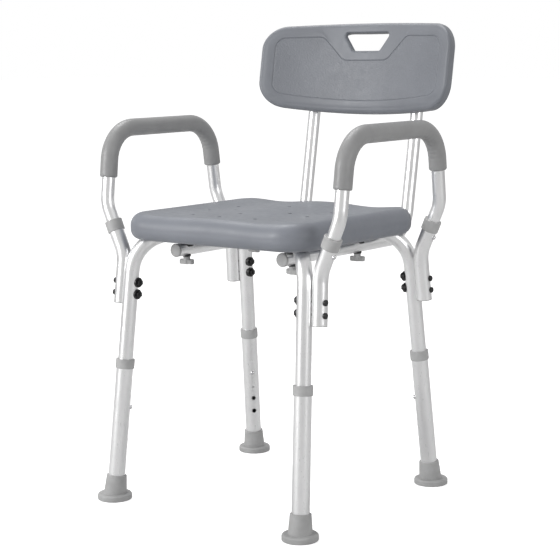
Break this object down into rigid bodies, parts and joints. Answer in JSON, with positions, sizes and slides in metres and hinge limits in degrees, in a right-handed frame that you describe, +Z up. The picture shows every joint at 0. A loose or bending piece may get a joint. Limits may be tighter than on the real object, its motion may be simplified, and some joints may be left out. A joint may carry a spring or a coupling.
{
  "type": "shower chair",
  "caption": "Height-adjustable shower chair with a moulded seat and backrest, padded lift-out arms and rubber-footed telescopic legs.",
  "frame": {"origin": "on the floor, at the middle of the whole chair's box", "axes": "+X to the sitter's left, +Y to the back, +Z up"},
  "size_m": [0.5196, 0.5447, 0.803],
  "materials": {
    "frame_aluminium": "satin anodised tube",
    "leg_aluminium": "satin anodised tube",
    "back_aluminium": "satin anodised tube",
    "socket_aluminium": "satin anodised tube",
    "arm_aluminium": "satin anodised tube",
    "seat_plastic": "fine grained blow-moulded polyethylene",
    "backrest_plastic": "fine grained blow-moulded polyethylene",
    "grey_plastic": "injection-moulded nylon",
    "black_plastic": "injection-moulded nylon",
    "black_steel": "black coated stainless steel",
    "zinc_steel": "bright stainless steel",
    "spring_steel": "bright stainless strip",
    "button_steel": "polished stainless steel",
    "foot_rubber": "matt moulded grey rubber",
    "foam": "closed-cell nitrile foam with a leathery skin",
    "brass": "turned brass"
  },
  "bodies": {
    "frame": {"frame_tube_a": "frame_aluminium", "frame_tube_b": "frame_aluminium", "cross_rivet": "zinc_steel", "seat": "seat_plastic", "backrest": "backrest_plastic", "threaded_inserts": "brass", "backrest_screws": "zinc_steel", "back_tube_left": "back_aluminium", "back_tube_right": "back_aluminium", "back_tube_plugs": "grey_plastic", "tube_saddles": "black_plastic", "knob_washers": "black_plastic", "socket_bolts": "black_steel", "saddle_washers": "black_plastic", "lock_nuts": "black_steel", "socket_collars": "grey_plastic", "socket_plugs": "grey_plastic", "leg_snap_springs": "spring_steel", "arm_socket_front_right": "socket_aluminium", "arm_socket_front_left": "socket_aluminium", "arm_socket_rear_right": "socket_aluminium", "arm_socket_rear_left": "socket_aluminium"},
    "lower_leg_front_right": {"lower_leg_front_right": "leg_aluminium", "leg_collar_front_right": "grey_plastic", "foot_front_right": "foot_rubber", "foot_washer_front_right": "zinc_steel"},
    "leg_button_front_right": {"leg_button_front_right": "button_steel"},
    "thumb_knob_front_right": {"thumb_knob_front_right": "grey_plastic", "knob_stud_front_right": "zinc_steel"},
    "lower_leg_front_left": {"lower_leg_front_left": "leg_aluminium", "leg_collar_front_left": "grey_plastic", "foot_front_left": "foot_rubber", "foot_washer_front_left": "zinc_steel"},
    "leg_button_front_left": {"leg_button_front_left": "button_steel"},
    "thumb_knob_front_left": {"thumb_knob_front_left": "grey_plastic", "knob_stud_front_left": "zinc_steel"},
    "lower_leg_rear_right": {"lower_leg_rear_right": "leg_aluminium", "leg_collar_rear_right": "grey_plastic", "foot_rear_right": "foot_rubber", "foot_washer_rear_right": "zinc_steel"},
    "leg_button_rear_right": {"leg_button_rear_right": "button_steel"},
    "thumb_knob_rear_right": {"thumb_knob_rear_right": "grey_plastic", "knob_stud_rear_right": "zinc_steel"},
    "lower_leg_rear_left": {"lower_leg_rear_left": "leg_aluminium", "leg_collar_rear_left": "grey_plastic", "foot_rear_left": "foot_rubber", "foot_washer_rear_left": "zinc_steel"},
    "leg_button_rear_left": {"leg_button_rear_left": "button_steel"},
    "thumb_knob_rear_left": {"thumb_knob_rear_left": "grey_plastic", "knob_stud_rear_left": "zinc_steel"},
    "arm_left": {"arm_tube_left": "arm_aluminium", "arm_pad_left": "foam", "arm_snap_springs_left": "spring_steel"},
    "arm_button_front_left": {"arm_button_front_left": "button_steel"},
    "arm_button_rear_left": {"arm_button_rear_left": "button_steel"},
    "arm_right": {"arm_tube_right": "arm_aluminium", "arm_pad_right": "foam", "arm_snap_springs_right": "spring_steel"},
    "arm_button_front_right": {"arm_button_front_right": "button_steel"},
    "arm_button_rear_right": {"arm_button_rear_right": "button_steel"}
  },
  "joints": [
    {"name": "leg_height_front_right", "type": "slide", "parent": "frame", "child": "lower_leg_front_right", "axis": [-0.0408, -0.1024, -0.9939], "range_m": [-0.07545, 0.0503], "deforming": ["leg_button_front_right"]},
    {"name": "leg_button_press_front_right", "type": "slide", "parent": "frame", "child": "leg_button_front_right", "axis": [-0.7694, -0.6314, 0.0966], "range_m": [0, 0.0048], "stiffness_N_per_m": 1200, "springref_m": -0.002, "deforming": ["leg_snap_springs"]},
    {"name": "knob_turn_front_right", "type": "hinge", "parent": "frame", "child": "thumb_knob_front_right", "pos_m": [-0.112, -0.14084, 0.405], "axis": [0, 0, 1], "continuous": true},
    {"name": "leg_height_front_left", "type": "slide", "parent": "frame", "child": "lower_leg_front_left", "axis": [0.0408, -0.1024, -0.9939], "range_m": [-0.07545, 0.0503], "deforming": ["leg_button_front_left"]},
    {"name": "leg_button_press_front_left", "type": "slide", "parent": "frame", "child": "leg_button_front_left", "axis": [0.7694, -0.6314, 0.0966], "range_m": [0, 0.0048], "stiffness_N_per_m": 1200, "springref_m": -0.002, "deforming": ["leg_snap_springs"]},
    {"name": "knob_turn_front_left", "type": "hinge", "parent": "frame", "child": "thumb_knob_front_left", "pos_m": [0.112, -0.14084, 0.405], "axis": [0, 0, 1], "continuous": true},
    {"name": "leg_height_rear_right", "type": "slide", "parent": "frame", "child": "lower_leg_rear_right", "axis": [-0.0408, 0.1024, -0.9939], "range_m": [-0.07545, 0.0503], "deforming": ["leg_button_rear_right"]},
    {"name": "leg_button_press_rear_right", "type": "slide", "parent": "frame", "child": "leg_button_rear_right", "axis": [-0.7694, 0.6314, 0.0966], "range_m": [0, 0.0048], "stiffness_N_per_m": 1200, "springref_m": -0.002, "deforming": ["leg_snap_springs"]},
    {"name": "knob_turn_rear_right", "type": "hinge", "parent": "frame", "child": "thumb_knob_rear_right", "pos_m": [-0.112, 0.04492, 0.405], "axis": [0, 0, 1], "continuous": true},
    {"name": "leg_height_rear_left", "type": "slide", "parent": "frame", "child": "lower_leg_rear_left", "axis": [0.0408, 0.1024, -0.9939], "range_m": [-0.07545, 0.0503], "deforming": ["leg_button_rear_left"]},
    {"name": "leg_button_press_rear_left", "type": "slide", "parent": "frame", "child": "leg_button_rear_left", "axis": [0.7694, 0.6314, 0.0966], "range_m": [0, 0.0048], "stiffness_N_per_m": 1200, "springref_m": -0.002, "deforming": ["leg_snap_springs"]},
    {"name": "knob_turn_rear_left", "type": "hinge", "parent": "frame", "child": "thumb_knob_rear_left", "pos_m": [0.112, 0.04492, 0.405], "axis": [0, 0, 1], "continuous": true},
    {"name": "arm_lift_left", "type": "slide", "parent": "frame", "child": "arm_left", "axis": [0.4027, 0, 0.9153], "range_m": [0, 0.08], "deforming": ["arm_button_front_left", "arm_button_rear_left"]},
    {"name": "arm_button_press_front_left", "type": "slide", "parent": "arm_left", "child": "arm_button_front_left", "axis": [-0.9153, 0, 0.4027], "range_m": [0, 0.0048], "stiffness_N_per_m": 1200, "springref_m": -0.002, "deforming": ["arm_snap_springs_left"]},
    {"name": "arm_button_press_rear_left", "type": "slide", "parent": "arm_left", "child": "arm_button_rear_left", "axis": [-0.9153, 0, 0.4027], "range_m": [0, 0.0048], "stiffness_N_per_m": 1200, "springref_m": -0.002, "deforming": ["arm_snap_springs_left"]},
    {"name": "arm_lift_right", "type": "slide", "parent": "frame", "child": "arm_right", "axis": [-0.4027, 0, 0.9153], "range_m": [0, 0.08], "deforming": ["arm_button_front_right", "arm_button_rear_right"]},
    {"name": "arm_button_press_front_right", "type": "slide", "parent": "arm_right", "child": "arm_button_front_right", "axis": [0.9153, 0, 0.4027], "range_m": [0, 0.0048], "stiffness_N_per_m": 1200, "springref_m": -0.002, "deforming": ["arm_snap_springs_right"]},
    {"name": "arm_button_press_rear_right", "type": "slide", "parent": "arm_right", "child": "arm_button_rear_right", "axis": [0.9153, 0, 0.4027], "range_m": [0, 0.0048], "stiffness_N_per_m": 1200, "springref_m": -0.002, "deforming": ["arm_snap_springs_right"]}
  ]
}
